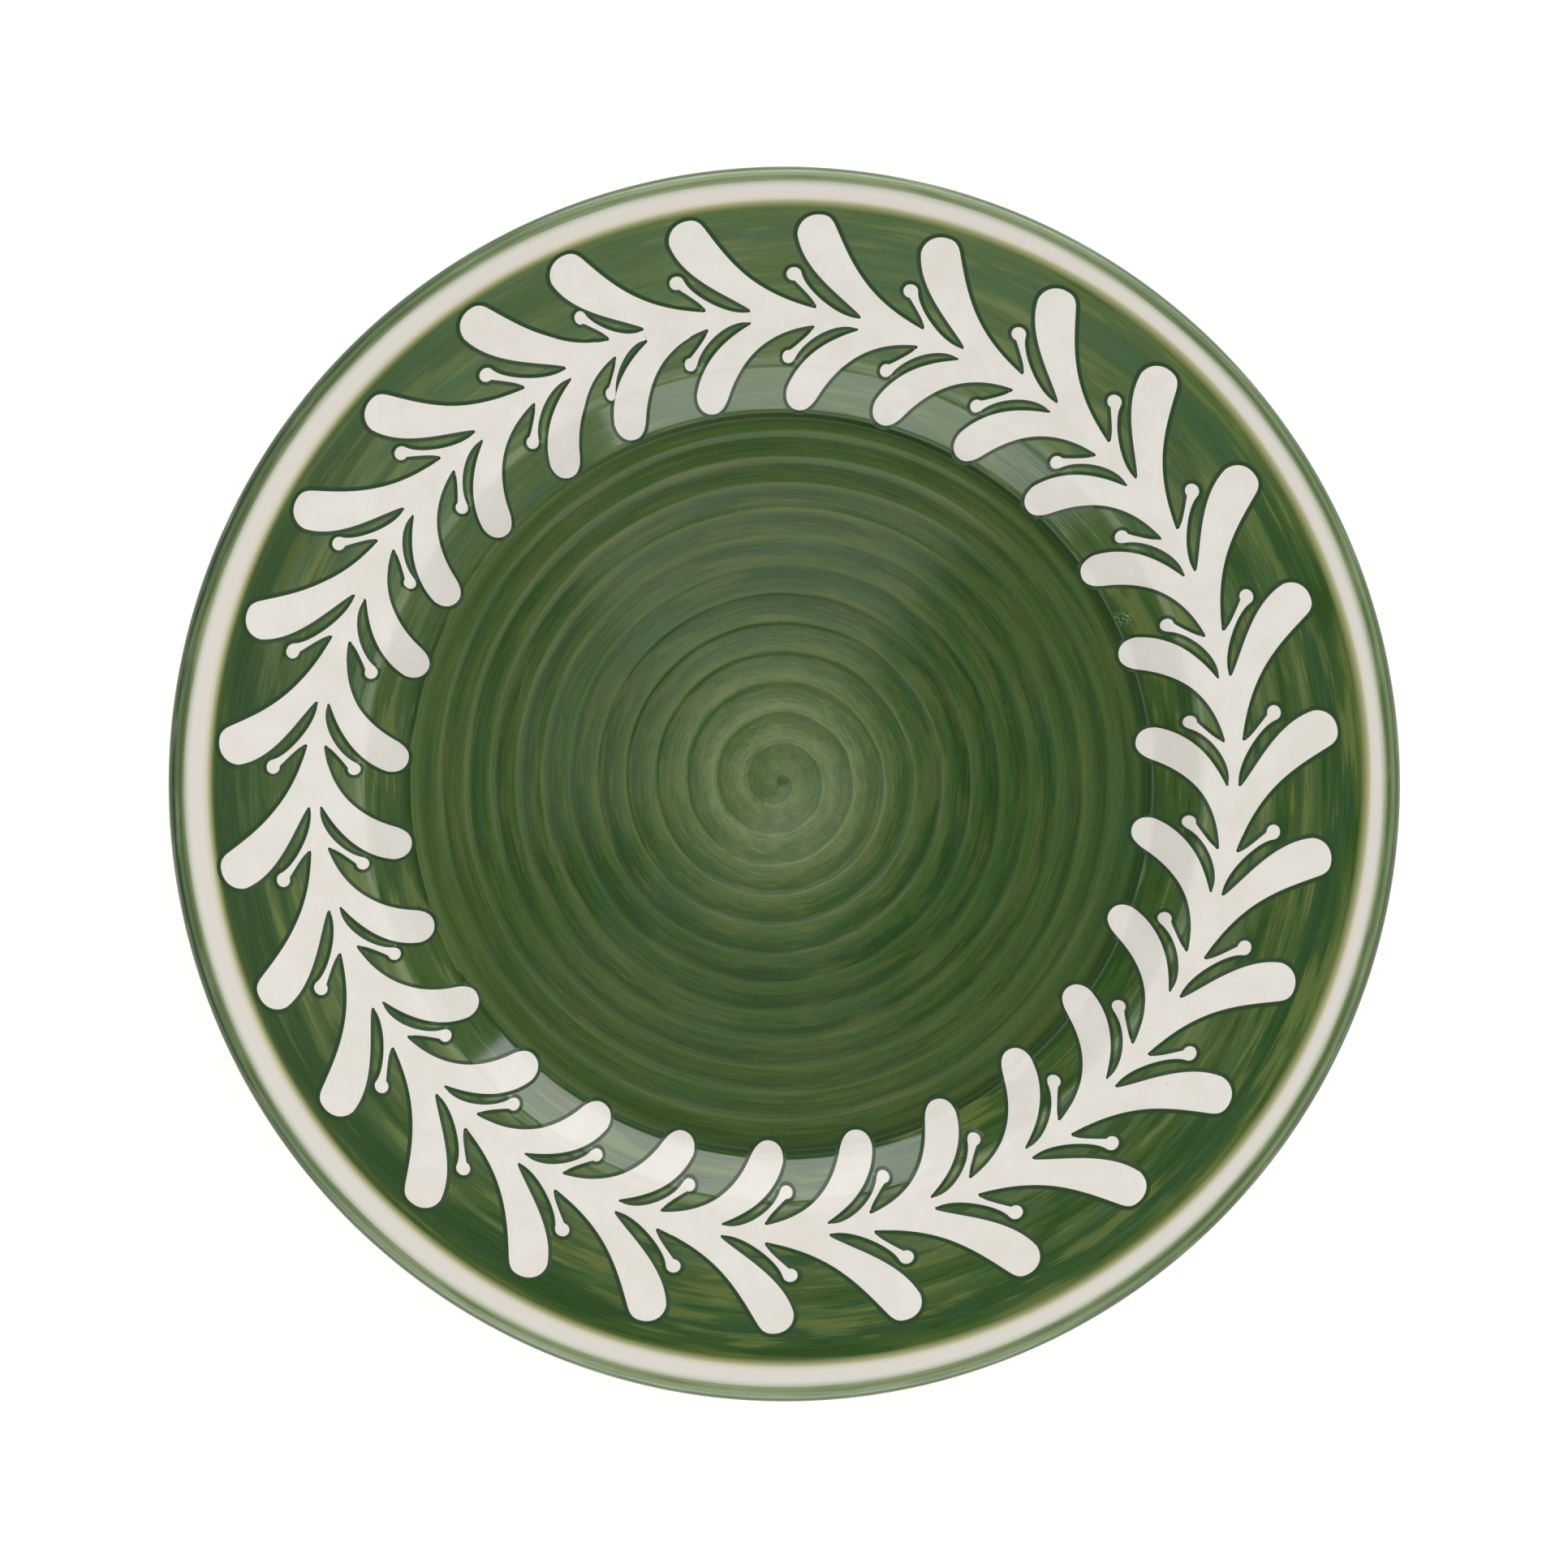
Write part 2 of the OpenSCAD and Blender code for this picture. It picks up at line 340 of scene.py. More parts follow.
# %% Draw the section of the plate
RIM_SLOPE = math.radians(11)
SHOULDER_R = 89
FLOOR_R = 78.7
FLOOR_Z = 9
FLOOR_DISH = 0.6
FLOOR_FILLET = 2
SHOULDER_FILLET = 5
LIP_R = 2.5
GLAZE_T = 0.3
PLATE_R = 130
PLATE_H = 25
LIP_MID = np.array([PLATE_R - LIP_R, PLATE_H - LIP_R])


def rounded(before, corner, after, radius, steps=8):
    """Points of the arc that rounds a corner between two straight lines."""
    before, corner, after = (np.array(point, float) for point in (before, corner, after))
    to_before = (before - corner) / np.linalg.norm(before - corner)
    to_after = (after - corner) / np.linalg.norm(after - corner)
    half = math.acos(to_before @ to_after) / 2
    inward = (to_before + to_after) / np.linalg.norm(to_before + to_after)
    middle = corner + inward * radius / math.sin(half)
    start = corner + to_before * radius / math.tan(half) - middle
    end = corner + to_after * radius / math.tan(half) - middle
    arc = []
    for share in np.linspace(0, 1, steps + 1):
        spoke = start * (1 - share) + end * share
        arc.append(middle + spoke / np.linalg.norm(spoke) * radius)
    return arc


def lip_point(angle, radius=LIP_R):
    return LIP_MID + radius * np.array([math.cos(angle), math.sin(angle)])


rim_end = lip_point(math.pi / 2 + RIM_SLOPE)
rim_start = np.array([SHOULDER_R, rim_end[1] - (rim_end[0] - SHOULDER_R) * math.tan(RIM_SLOPE)])
floor_mid = np.array([0, FLOOR_Z - FLOOR_DISH])
floor_edge = np.array([FLOOR_R, FLOOR_Z])
face = np.array([
    floor_mid,
    *rounded(floor_mid, floor_edge, rim_start, FLOOR_FILLET),
    *rounded(floor_edge, rim_start, rim_end, SHOULDER_FILLET),
    rim_end,
])


def face_height(radius):
    """Height of the painted face at a distance from the axis, in millimetres."""
    return np.interp(radius, face[:, 0], face[:, 1])


print("rim starts", round(rim_start[1], 1), "mm up and ends", round(rim_end[1], 1), "mm up")

# %% [markdown]
# Every coat is a closed skin that is turned like the clay: its section is drawn as a loop
# and spun round the axis. The first primitive is a circle of points that are moved onto the
# section, and Spin does the rest. Doubles are merged where the ends of the turn meet.

# %% Turn a coat on the lathe
ROUND_STEPS = 360


def operate(piece, *operations):
    """Runs edit mode operators on one piece, each with everything selected."""
    bpy.ops.object.select_all(action="DESELECT")
    piece.select_set(True)
    bpy.context.view_layer.objects.active = piece
    bpy.ops.object.mode_set(mode="EDIT")
    for operation in operations:
        bpy.ops.mesh.select_all(action="SELECT")
        operation()
    bpy.ops.object.mode_set(mode="OBJECT")


def points_of(piece):
    points = np.empty(len(piece.data.vertices) * 3)
    piece.data.vertices.foreach_get("co", points)
    return points.reshape(-1, 3) / MM


def move_points(piece, points):
    piece.data.vertices.foreach_set("co", (np.asarray(points) * MM).ravel())
    piece.data.update()


def turned(name, section):
    """Spins a closed loop of (radius, height) points round the axis."""
    bpy.ops.object.select_all(action="DESELECT")
    bpy.ops.mesh.primitive_circle_add(vertices=len(section), radius=MM)
    piece = bpy.context.object
    piece.name = piece.data.name = name
    move_points(piece, [(radius, 0, height) for radius, height in section])
    operate(
        piece,
        lambda: bpy.ops.mesh.spin(
            steps=ROUND_STEPS, angle=2 * math.pi, center=(0, 0, 0), axis=(0, 0, 1)
        ),
        lambda: bpy.ops.mesh.remove_doubles(threshold=0.002 * MM),
        lambda: bpy.ops.mesh.dissolve_degenerate(threshold=0.001 * MM),
        lambda: bpy.ops.mesh.normals_make_consistent(inside=False),
    )
    bpy.ops.object.shade_smooth_by_angle(angle=math.radians(40))
    return piece


def coat_section(low, high, spacing):
    """A skin on the painted face between two radii, as thick as the glaze."""
    count = max(2, round((high - low) / spacing) + 1)
    over = [(radius, face_height(radius)) for radius in np.linspace(low, high, count)]
    under_radii = [radius for radius in (high, SHOULDER_R, FLOOR_R, low) if low <= radius <= high]
    under = [(radius, face_height(radius) - GLAZE_T) for radius in under_radii]
    return over + under


def settle(piece, nodes, material):
    """Gives a finished piece its paint, its place in the frame and the nodes it stands for."""
    piece.data.materials.clear()
    piece.data.materials.append(material)
    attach(piece, "root")
    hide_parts(*nodes)


print("a turned coat has", ROUND_STEPS, "steps round")

# %% [markdown]
# The painter works on the wheel, so paint lies in polar lanes: how far out, and how far
# round. The edges of the white band sway a little, as a hand held brush does. The sway is
# put into the mesh, and each point keeps its nominal radius as the attribute `lane`, so the
# paint follows the swaying edge.

# %% Lanes of paint
BAND_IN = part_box("rim_glaze")[1][0] / MM
BAND_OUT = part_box("rim_band")[1][0] / MM
# The sway dies out this far below the rim's end, and this far from the band's two edges.
FACE_DEPTH = 2.2
INNER_SWAY_W = 3.5
OUTER_SWAY_W = 3.0


def polar(paint, right=0.0, up=0.0):
    """Distance from a centre in millimetres, and the turn clockwise from +Y in radians."""
    x = paint.x - right
    y = paint.y - up
    return (x * x + y * y) ** 0.5, x.math("ARCTAN2", y)


def wave(angle, lag, turns=1):
    """A wave round the plate, first highest at lag / turns degrees (numbers, not sockets)."""
    return np.cos(turns * angle - math.radians(lag))


def sway(points):
    """Lets the two edges of the white band wander. Returns the new points and the lanes."""
    radius = np.hypot(points[:, 0], points[:, 1])
    angle = np.arctan2(points[:, 0], points[:, 1])
    inner = 0.78 * wave(angle, 80) + 0.22 * wave(angle, 70, 2) + 0.07 * wave(angle, 10, 9)
    outer = 0.12 * wave(angle, -56) + 0.26 * wave(angle, 45, 2) + 0.05 * wave(angle, 80, 7)
    inner_share = np.clip(1 - np.abs(radius - BAND_IN) / INNER_SWAY_W, 0, 1)
    outer_share = np.clip(1 - np.abs(radius - BAND_OUT) / OUTER_SWAY_W, 0, 1)
    on_face = points[:, 2] > rim_end[1] - FACE_DEPTH
    shift = np.where(on_face, inner * inner_share + outer * outer_share, 0)
    lane = radius.copy()
    moved = points.copy()
    moved[:, :2] *= ((radius + shift) / np.maximum(radius, 1))[:, None]
    moved[:, 2] += shift * math.tan(RIM_SLOPE) * (np.abs(shift) > 0)
    return moved, lane


def store(piece, name, values):
    """Keeps one number per point on the mesh, for the paint to read."""
    layer = piece.data.attributes.new(name, "FLOAT", "POINT")
    layer.data.foreach_set("value", np.asarray(values, float))


def streaks(paint, radius, angle, across, along, seed=0.0):
    """Brush marks that run round the plate, one cell `across` millimetres wide."""
    east = angle.math("COSINE") * along
    north = angle.math("SINE") * along
    return paint.noise(paint.vector(east, north + seed, radius / across), 1, 3, 0.55)


def specks(paint, apart, size):
    """Round specks of a size, about one in every cell `apart` millimetres wide."""
    cells = paint.node("TexVoronoi", {}, {"Vector": paint.place, "Scale": 1 / apart}, "Distance")
    return 1 - cells.step(size / apart, 1.7 * size / apart)


print("the white band lies between", round(BAND_IN, 1), "and", round(BAND_OUT, 1), "mm")

# %% [markdown]
# The floor of the well was painted last. The brush went from the middle outwards while the
# plate turned, which leaves one long spiral: a pale ridge where the bristles lifted, then
# colour that deepens until the next ridge. The same spiral is a very faint relief in the
# mesh, and a deeper one under the smooth clear glaze, which is the coat of the shader.

# %% The spiral of the well
SPIRAL_PITCH = 6.02
RIDGE_H = 0.015
SPIRAL_START = 2.0
SPIRAL_SWERVE = 1.0
SPIRAL_LAG = math.radians(-72)
SPIRAL_UP = 0.4
# The spiral swerves to one side in the middle, and steadies from here on, over this length.
STEADY_FROM = 35
STEADY_OVER = 25
# From here on and over this length, the ridges lie first wider apart and then closer.
BULGE = 0.3
BULGE_FROM = 8
BULGE_OVER = 66


def spiral_relief(points):
    """Height of the ridge above the floor, for points in millimetres."""
    x = points[:, 0]
    y = points[:, 1] - SPIRAL_UP
    radius = np.hypot(x, y)
    angle = np.arctan2(x, y)
    fade = 1 - np.clip((radius - STEADY_FROM) / STEADY_OVER, 0, 1)
    steady = radius - SPIRAL_SWERVE * fade * np.cos(angle - SPIRAL_LAG)
    bulge = BULGE * np.sin(np.clip((steady - BULGE_FROM) / BULGE_OVER, 0, 1) * math.pi)
    turns = (steady - SPIRAL_START) / SPIRAL_PITCH - bulge - angle / (2 * math.pi)
    share = turns - np.floor(turns)
    ridge = np.maximum(np.exp(-share / 0.3), np.clip((share - 0.86) / 0.14, 0, 1) ** 2)
    return RIDGE_H * (ridge - 0.4) * np.clip(radius / 6, 0, 1) * np.clip((77 - radius) / 4, 0, 1)


def well_paint():
    paint = Paint("brushed green well")
    radius, angle = polar(paint, 0, SPIRAL_UP)
    fade = 1 - ((radius - STEADY_FROM) / STEADY_OVER).step(0, 1)
    swerve = (angle - SPIRAL_LAG).math("COSINE") * SPIRAL_SWERVE
    drift = (streaks(paint, radius, angle, 14, 1.6, 5) - 0.5) * 1.2
    steady = radius - fade * swerve + drift
    bulge = ((steady - BULGE_FROM) / BULGE_OVER * math.pi).math("SINE") * BULGE
    turns = (steady - SPIRAL_START) / SPIRAL_PITCH - bulge - angle / (2 * math.pi)
    share = turns.math("FRACT")
    soft = radius.step(36, 54) * 0.24 + 0.06
    rise = share.math("SUBTRACT", 1 - soft) / soft
    pale = rise.step(0, 1).math("MAXIMUM", 1 - share.step(0, 0.9))
    crease = share.hump(0.93, 0.055) * (1 - radius.step(30, 50) * 0.8)
    circle_a = (turns * 2 * math.pi).math("COSINE") * 1.6
    circle_b = (turns * 2 * math.pi).math("SINE") * 1.6
    crest = share.hump(0.03, 0.09).math("MAXIMUM", share.hump(1.03, 0.09))
    bristles = paint.noise(
        paint.vector(circle_a + paint.x / 45, circle_b + paint.y / 45, radius / 9), 1, 4, 0.6
    )
    hairs = streaks(paint, steady, angle, 0.4, 5, 40)
    grain = paint.noise(paint.place, 1.1, 3, 0.6)
    patches = streaks(paint, radius, angle, 3.5, 2.2, 3)
    # Both ramps darken from 76 to 79 mm, into the corner at the floor's edge: partly pooled glaze,
    # partly painted shade.
    dark = paint.ramp(radius, (
        (0, "48603A"), (10, "4F633B"), (25, "355026"), (39, "24401A"), (60, "2C4520"),
        (72, "354D25"), (76, "33491F"), (79, "26401E"),
    ))
    light = paint.ramp(radius, (
        (0, "60724B"), (13, "6E8156"), (25, "55693C"), (39, "3B572A"), (60, "455D30"),
        (72, "4A6034"), (76, "48602F"), (79, "355028"),
    ))
    depth = pale * 0.75 + crest * radius.step(20, 34) * 0.45 - crease * 0.9
    depth = depth + (bristles - 0.5) * 1.2 + (patches - 0.5) * 0.9
    depth = depth + (hairs - 0.5) * 1.5 + (grain - 0.5) * 0.6
    colour = paint.mix(depth.step(-0.15, 1.05), dark, light)
    olive = streaks(paint, steady, angle, 2, 2.6, 9).step(0.45, 0.7)
    colour = paint.mix(olive * 0.3, colour, tone("6A7040"))
    cool = streaks(paint, steady, angle, 2.6, 2.4, 21).step(0.48, 0.7)
    colour = paint.mix(cool * 0.3, colour, tone("30543A"))
    # Painted shade and light at the floor's edge: a dark band round most of the well, and a
    # painted lighter band on its left side.
    lit_left_side = (angle + math.radians(90)).math("COSINE").step(-0.2, 1)
    edge = radius.hump(77.6, 2.6)
    colour = paint.mix(edge * (1 - lit_left_side) * 0.75, colour, tone("243A1A"))
    colour = paint.mix(edge * lit_left_side * 0.6, colour, tone("5A7040"))
    colour = paint.mix(specks(paint, 11, 0.17) * 0.5, colour, tone("1F3318"))
    heart = 1 - radius.step(0.4, 1.6)
    colour = paint.mix(heart * 0.7, colour, tone("2F4A22"))
    paint.shader.inputs["Specular IOR Level"].default_value = 0.1
    return paint.finish(colour, 0.3, pale * 0.7 + bristles * 0.6, 0.1, 1)


well = turned("well_glaze_coat", coat_section(0, FLOOR_R, 0.6))
well_points = points_of(well)
floor_height = face_height(np.hypot(well_points[:, 0], well_points[:, 1]))
on_top = well_points[:, 2] > floor_height - GLAZE_T / 2
well_points[:, 2] += np.where(on_top, spiral_relief(well_points), 0)
move_points(well, well_points)
settle(well, ["well_glaze"], well_paint())
print("the well is", len(well.data.polygons), "faces")

# %% [markdown]
# Shoulder and rim are one field of green, laid in rings with a broad brush. Where strokes
# overlap the colour is deep and cold, and where the white shows through it turns olive. At
# the white band the green runs out into a tan fringe.

# %% Shoulder and rim


def green_of_rim(paint, lane, angle):
    """The colour of the rim at a lane, shared by everything that lies in the green."""
    fine = streaks(paint, lane, angle, 0.5, 4)
    broad = streaks(paint, lane, angle, 2.2, 5, 7)
    patch = streaks(paint, lane, angle, 4.5, 3, 19)
    # The first stops darken the green into the corner at the floor's edge: partly pooled glaze,
    # partly painted shade.
    colour = paint.ramp(lane, (
        (77, "26401E"), (79.2, "2E481E"), (80.4, "405A2A"), (87.5, "445C2E"), (89.6, "6B7C52"),
        (91.5, "5C6E44"), (94, "4C6238"), (101, "586A44"), (105, "465C32"), (109, "44582E"),
        (111, "4E6439"), (114, "3C552E"), (116.5, "34502E"), (119.5, "40582E"), (121.1, "50622F"),
        (121.9, "8A9062"), (122.6, "B6B38E"), (123.4, "DCD7CA"),
    ))
    in_green = 1 - lane.step(120.5, 122)
    wet = (fine * 0.2 + broad * 0.45 + patch * 0.35 - 0.5) * in_green
    colour = paint.mix(wet.step(0.01, 0.08) * 0.5, colour, tone("748046"))
    colour = paint.mix((wet * -1).step(0.01, 0.08) * 0.75, colour, tone("2A4A22"))
    # Painted sheen: towards the top of the plate the green is paler and its cool streaks stronger,
    # a painted reflection of the light.
    top_sheen = (angle + math.radians(5)).math("COSINE").step(0.2, 1) * in_green
    cool = streaks(paint, lane, angle, 3, 3, 31).step(0.5, 0.58) * in_green
    colour = paint.mix(cool * (top_sheen * 0.35 + 0.2), colour, tone("315640"))
    colour = paint.mix(top_sheen * 0.3, colour, tone("7D8F68"))
    left = (angle + math.radians(100)).math("COSINE").step(0, 1) * lane.step(111, 114)
    return paint.mix(left * in_green * 0.5, colour, tone("2C451F")), fine


# Where the rim's glaze has a small star of fine cracks: right of and behind the centre.
CHIP = (72.4, 35.3)


def rim_paint():
    paint = Paint("brushed green rim")
    lane = paint.attribute("lane")
    colour, fine = green_of_rim(paint, lane, polar(paint)[1])
    colour = paint.mix(specks(paint, 17, 0.18) * 0.5, colour, tone("1F3318"))
    near_chip = 1 - polar(paint, *CHIP)[0].step(0.3, 2.4)
    cracks = paint.noise(paint.place, 0.45, 2, 0.8).hump(0.5, 0.04)
    colour = paint.mix(near_chip * cracks * 0.8, colour, tone("B4C2A4"))
    return paint.finish(colour, 0.09, fine, 0.012)


def band_of_face(name, low, high, spacing, nodes, material):
    piece = turned(name, coat_section(low, high, spacing))
    points, lane = sway(points_of(piece))
    move_points(piece, points)
    store(piece, "lane", lane)
    settle(piece, nodes, material)
    return piece


rim = band_of_face(
    "rim_glaze_coat", FLOOR_R, BAND_IN, 0.6, ["rim_glaze"], rim_paint()
)
print("the rim is", len(rim.data.polygons), "faces")

# %% [markdown]
# The white band is bare white glaze between two green edges. Its inner edge is crisp, and
# its outer edge fades into the lip, where thin green was wiped on with a sponge.

# %% White band and green lip


def band_paint():
    paint = Paint("white band")
    lane = paint.attribute("lane")
    angle = polar(paint)[1]
    feather = (streaks(paint, lane, angle, 0.7, 5, 2) - 0.5) * 0.8
    edge = lane + feather * lane.step(125, 127)
    colour = paint.ramp(edge, (
        (122.5, "B4B08D"), (122.9, "D0CBB6"), (123.6, "DDD8CC"), (125.4, "DED9D0"),
        (126, "D2D2C4"), (126.8, "AAB097"),
    ))
    stain = streaks(paint, lane, angle, 2.5, 6, 13).step(0.55, 0.8)
    return paint.finish(paint.mix(stain * 0.25, colour, tone("E0D9CC")), 0.1, feather, 0.02)


def lip_paint():
    paint = Paint("sponged green lip")
    lane = paint.attribute("lane")
    angle = polar(paint)[1]
    feather = streaks(paint, lane, angle, 0.8, 6, 4) - 0.5
    patches = streaks(paint, lane, angle, 1.6, 7, 8)
    lines = streaks(paint, lane, angle, 0.35, 5, 15)
    # Round the outer edge of the lip, from 130 to 132, the green is darkest: partly the sponged
    # colour, partly painted shade where the lip turns away from the light.
    colour = paint.ramp(lane + feather * 0.9, (
        (126.2, "C4C7B0"), (126.8, "A0A68B"), (127.2, "6C7D58"), (127.7, "54673F"),
        (128.5, "6C7E55"), (129.2, "5A6C46"), (130, "3C5030"), (132, "354A2A"),
        (133, "6F805A"), (134.3, "C4BFA8"),
    ))
    # Painted reflection: the lip is paler behind and in front, where the two soft boxes stand.
    behind = angle.math("COSINE").step(0.7, 1)
    front = (angle - math.radians(192)).math("COSINE").step(0.55, 1)
    left = (angle + math.radians(80)).math("COSINE").step(0.35, 1)
    colour = paint.mix((behind + front) * (1 - lane.step(129, 130)) * 0.6, colour, tone("92A07C"))
    # Painted shade: on the left the crown of the lip is darker.
    colour = paint.mix(left * lane.step(127.2, 129) * 0.9, colour, tone("2C401F"))
    colour = paint.mix(patches.step(0.5, 0.7) * 0.45, colour, tone("8C9A72"))
    colour = paint.mix((1 - patches).step(0.5, 0.7) * 0.4, colour, tone("4C6238"))
    colour = paint.mix((1 - lines).step(0.5, 0.7) * 0.35, colour, tone("55683C"))
    return paint.finish(colour, 0.14, feather, 0.04)


band = band_of_face(
    "white_band_coat", BAND_IN, BAND_OUT, 0.35, ["rim_band"], band_paint()
)


def lip_section():
    """The skin round the lip, from the band over the edge to the back."""
    angles = np.linspace(math.pi / 2 + RIM_SLOPE, RIM_SLOPE - math.pi / 2, 26)
    over = [(BAND_OUT, face_height(BAND_OUT)), *[tuple(lip_point(angle)) for angle in angles]]
    inside = LIP_R - GLAZE_T
    under = [tuple(lip_point(angle, inside)) for angle in reversed(angles[::3])]
    return over + under + [(BAND_OUT, face_height(BAND_OUT) - GLAZE_T)]


def lip_lane(points):
    """How far a point of the lip lies from the axis, measured along the glaze."""
    radius = np.hypot(points[:, 0], points[:, 1])
    turn = np.arctan2(points[:, 2] - LIP_MID[1], radius - LIP_MID[0])
    along = (math.pi / 2 + RIM_SLOPE - turn) * LIP_R
    return np.where(radius < rim_end[0], radius, rim_end[0] + np.clip(along, 0, 8))


lip = turned("lip_glaze_coat", lip_section())
lip_points = points_of(lip)
store(lip, "lane", lip_lane(lip_points))
move_points(lip, sway(lip_points)[0])
settle(lip, ["lip_glaze"], lip_paint())
print("the band is", len(band.data.polygons), "faces and the lip", len(lip.data.polygons))

# %% [markdown]
# The back is left pale, but for a little green that ran over from the lip. Its glaze lies
# over the throwing rings that the potter's fingers left, and stops just above the foot,
# which is wiped bare so that the plate doesn't stick to the kiln shelf.

# %% The back, the base and the bare foot
WALL_T = 5.4
FOOT_R = 73.5
FOOT_W = 5
FOOT_FLARE = 1.5
FOOT_H = 4.4
FOOT_RECESS = 3.2
FOOT_EDGE = 0.8
BARE_H = 1.6
# The bend of the back lies outside the shoulder, and its heel outside the foot ring.
BEND_OUT = 4
HEEL_OUT = 9
HEEL_UP = 0.9
BEND_FILLET = 14
HEEL_FILLET = 8
ROOT_FILLET = 1.5
BASE_FILLET = 1.2
# Distance between points along the back, on the glazed side and on the clay side.
FINE_STEP = 1.2
COARSE_STEP = 4

back_end = LIP_MID + LIP_R * np.array([math.sin(RIM_SLOPE), -math.cos(RIM_SLOPE)])
back_bend = np.array([SHOULDER_R + BEND_OUT, rim_start[1] - WALL_T])
back_heel = np.array([FOOT_R + HEEL_OUT, FOOT_H + HEEL_UP])
foot_root = np.array([FOOT_R + FOOT_FLARE, FOOT_H])
foot_toe = np.array([FOOT_R, 0])
bare_point = foot_toe + (foot_root - foot_toe) * BARE_H / FOOT_H
base_corner = np.array([FOOT_R - FOOT_W - FOOT_FLARE, FOOT_RECESS])
base_toe = np.array([FOOT_R - FOOT_W, 0])
base_bare = base_toe + (base_corner - base_toe) * BARE_H / FOOT_RECESS
back_line = np.array([
    back_end,
    *rounded(back_end, back_bend, back_heel, BEND_FILLET),
    *rounded(back_bend, back_heel, foot_root, HEEL_FILLET),
    *rounded(back_heel, foot_root, foot_toe, ROOT_FILLET),
    bare_point,
])
base_mid = np.array([0, FOOT_RECESS])
base_line = np.array([
    base_mid,
    *rounded(base_mid, base_corner, base_toe, BASE_FILLET),
    base_bare,
])


def closer(line, spacing):
    """The same line with points no further apart than the spacing."""
    steps = np.linalg.norm(np.diff(line, axis=0), axis=1)
    along = np.concatenate([[0], np.cumsum(steps)])
    extra = np.arange(0, along[-1], spacing)
    marks = np.unique(np.round(np.concatenate([along, extra]), 3))
    return np.column_stack([np.interp(marks, along, line[:, i]) for i in range(2)])


def beside(line, distance):
    """A line moved sideways, to its left when the distance is positive."""
    way = np.gradient(line, axis=0)
    way /= np.linalg.norm(way, axis=1)[:, None]
    return line + np.column_stack([-way[:, 1], way[:, 0]]) * distance


def throwing_rings(line, depth, pitch):
    """Shallow finger rings along a line, fading out at both of its ends."""
    steps = np.linalg.norm(np.diff(line, axis=0), axis=1)
    along = np.concatenate([[0], np.cumsum(steps)])
    fade = np.clip(along / 6, 0, 1) * np.clip((along[-1] - along) / 6, 0, 1)
    rings = np.sin(along / pitch * 2 * math.pi + 0.6 * np.sin(along / 9))
    return line + np.column_stack([0 * along, rings * depth * fade])


def back_paint(name):
    paint = Paint(name)
    radius, angle = polar(paint)
    drips = streaks(paint, radius, angle, 3, 5, 6)
    colour = paint.mix(drips.step(0.35, 0.7), tone("D8D2BE"), tone("C9C1A8"))
    thin = 1 - paint.z.step(1.6, 3.2)
    colour = paint.mix(thin * 0.45, colour, tone("B59672"))
    run = radius + (streaks(paint, radius * 0, angle, 1, 9, 12) - 0.5) * 5
    wash = run.step(125.6, 127.6) * paint.z.step(14, 18)
    colour = paint.mix(wash * 0.8, colour, tone("647A52"))
    colour = paint.mix(specks(paint, 6.2, 0.3) * 0.6, colour, tone("7A5A3C"))
    return paint.finish(colour, 0.14, drips, 0.08)


def clay_paint():
    paint = Paint("bare clay")
    radius, angle = polar(paint)
    turning = streaks(paint, radius, angle, 0.5, 7)
    grain = paint.noise(paint.place, 2.2, 5, 0.7)
    colour = paint.mix(turning, tone("B98F68"), tone("D2AE88"))
    colour = paint.mix(grain.step(0.55, 0.75) * 0.5, colour, tone("8E6544"))
    rubbed = 1 - paint.z.step(0.05, 0.5)
    colour = paint.mix(rubbed * 0.4, colour, tone("E0C6A6"))
    return paint.finish(colour, 0.75, grain + turning, 0.12)


back_over = throwing_rings(closer(back_line, FINE_STEP), 0.12, 5.5)
back_under = beside(closer(back_line, COARSE_STEP), -GLAZE_T)[::-1]
back = turned("back_glaze_coat", [*back_over, *back_under])
settle(back, ["back_glaze"], back_paint("pale back glaze"))

base_over = throwing_rings(closer(base_line, FINE_STEP), 0.08, 7)
base_under = beside(closer(base_line, COARSE_STEP), GLAZE_T)[::-1]
base = turned("base_glaze_coat", [*base_over, *base_under])
settle(base, ["base_glaze"], back_paint("pale base glaze"))


def clay_section():
    """The clay under the glaze, with the foot ring's turned and rounded edges."""
    radii = [0, 40, FLOOR_R - 1, FLOOR_R + 1, SHOULDER_R - 1, SHOULDER_R + 1, 105, rim_end[0]]
    over = [(radius, face_height(radius) - GLAZE_T) for radius in radii]
    angles = np.linspace(math.pi / 2 + RIM_SLOPE, RIM_SLOPE - math.pi / 2, 10)[1:-1]
    lip_arc = [tuple(lip_point(angle, LIP_R - GLAZE_T)) for angle in angles]
    wall = [bare_point + (foot_toe - bare_point) * share for share in (0, 0.25, 0.45)]
    toe = [
        *rounded(bare_point, foot_toe, base_toe, FOOT_EDGE),
        *rounded(foot_toe, base_toe, base_bare, FOOT_EDGE),
    ]
    return [*over, *lip_arc, *back_under[::-1], *wall, *toe, base_bare, *base_under]


clay = turned("clay_wall_and_foot", clay_section())
settle(clay, ["clay_body"], clay_paint())
print("the foot ring stands on", FOOT_W - 2 * FOOT_EDGE, "mm of bare clay")

# %% [markdown]
# One sprig is drawn flat, as distances along the stem and away from it: two leaves that
# point backwards, and two small buds on thin stalks. A painter loads a round brush, presses
# for the leaf's tip and lifts it towards the stem, so a leaf is widest near its tip. Each
# side is a chain of curves. The dark line around it is a second outline, a little outside.

# %% Draw one sprig
SPRIG_COUNT = sum(name.startswith("sprig_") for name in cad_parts)
STEM_R = 97
NECK = 10
NECK_OUTER = 0.6
NECK_INNER = -1.4
PITCH = 2 * math.pi * STEM_R / SPRIG_COUNT
LINE_W = 1.1
NECK_LINE_W = 0.35


